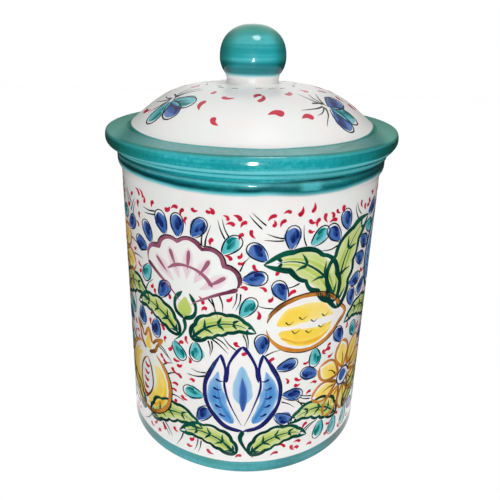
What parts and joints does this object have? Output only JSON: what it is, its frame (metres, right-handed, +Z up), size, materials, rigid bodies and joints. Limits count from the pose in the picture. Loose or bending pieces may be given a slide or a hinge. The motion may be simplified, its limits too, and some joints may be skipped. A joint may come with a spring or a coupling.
{
  "type": "ceramic jar",
  "caption": "Straight round glazed canister with a domed lift-off lid, an overhanging rounded brim, a ring that finds the mouth, and a ball knob.",
  "frame": {"origin": "middle of the foot, on the surface that the jar stands on", "axes": "+Z up along the axis that every piece is turned on; the view in the picture looks along +Y"},
  "size_m": [0.1372, 0.1372, 0.2011],
  "materials": {
    "white_glaze": "glossy tin-white glaze over painted decoration, with brushed teal bands",
    "lid_white_glaze": "glossy tin-white glaze over painted decoration, with a brushed teal brim",
    "teal_glaze": "glossy brushed teal glaze"
  },
  "bodies": {
    "jar": {"jar_body": "white_glaze"},
    "lid": {"lid": "lid_white_glaze", "lid_knob": "teal_glaze"}
  },
  "joints": [
    {"name": "lid_lift", "type": "slide", "parent": "jar", "child": "lid", "axis": [0, 0, 1], "range_m": [0, 0.15]}
  ]
}
